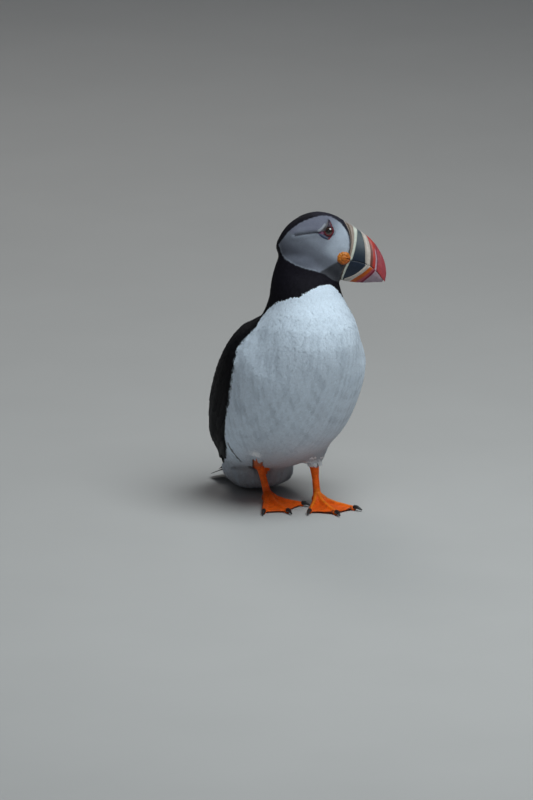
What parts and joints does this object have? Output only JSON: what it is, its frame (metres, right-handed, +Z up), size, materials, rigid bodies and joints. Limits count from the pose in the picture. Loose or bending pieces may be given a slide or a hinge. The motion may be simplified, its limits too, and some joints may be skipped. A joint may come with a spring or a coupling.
{
  "type": "atlantic puffin",
  "caption": "Life-size standing atlantic puffin with black back, white breast, orange webbed feet and a tall banded bill, head turned to its left.",
  "frame": {"origin": "on the floor, under the middle of the bird's bounding box", "axes": "+Z up, -Y the way the trunk and feet face, +X the bird's left side"},
  "size_m": [0.117, 0.1672, 0.2322],
  "materials": {
    "white_plumage": "soft matt white feathers",
    "black_plumage": "black feathers with a faint gloss",
    "face_plumage": "short velvety pale grey feathers, black over the crown",
    "bill": "horn in slate, cream, orange and red bands, half gloss",
    "rosette": "wrinkled yellow-orange skin",
    "eye": "wet dark brown eye",
    "leg_skin": "orange scaly skin",
    "claw": "black horn"
  },
  "bodies": {
    "root": {"head": "face_plumage", "neck": "black_plumage", "trunk": "white_plumage", "thigh_right": "white_plumage", "wing_right": "black_plumage", "shank_right": "leg_skin", "foot_right": "leg_skin", "claw_right_inner": "claw", "claw_right_middle": "claw", "claw_right_outer": "claw", "eye_right": "eye", "rosette_right": "rosette", "thigh_left": "white_plumage", "wing_left": "black_plumage", "shank_left": "leg_skin", "foot_left": "leg_skin", "claw_left_inner": "claw", "claw_left_middle": "claw", "claw_left_outer": "claw", "eye_left": "eye", "rosette_left": "rosette", "tail": "black_plumage", "bill_upper": "bill", "bill_lower": "bill"}
  },
  "joints": []
}
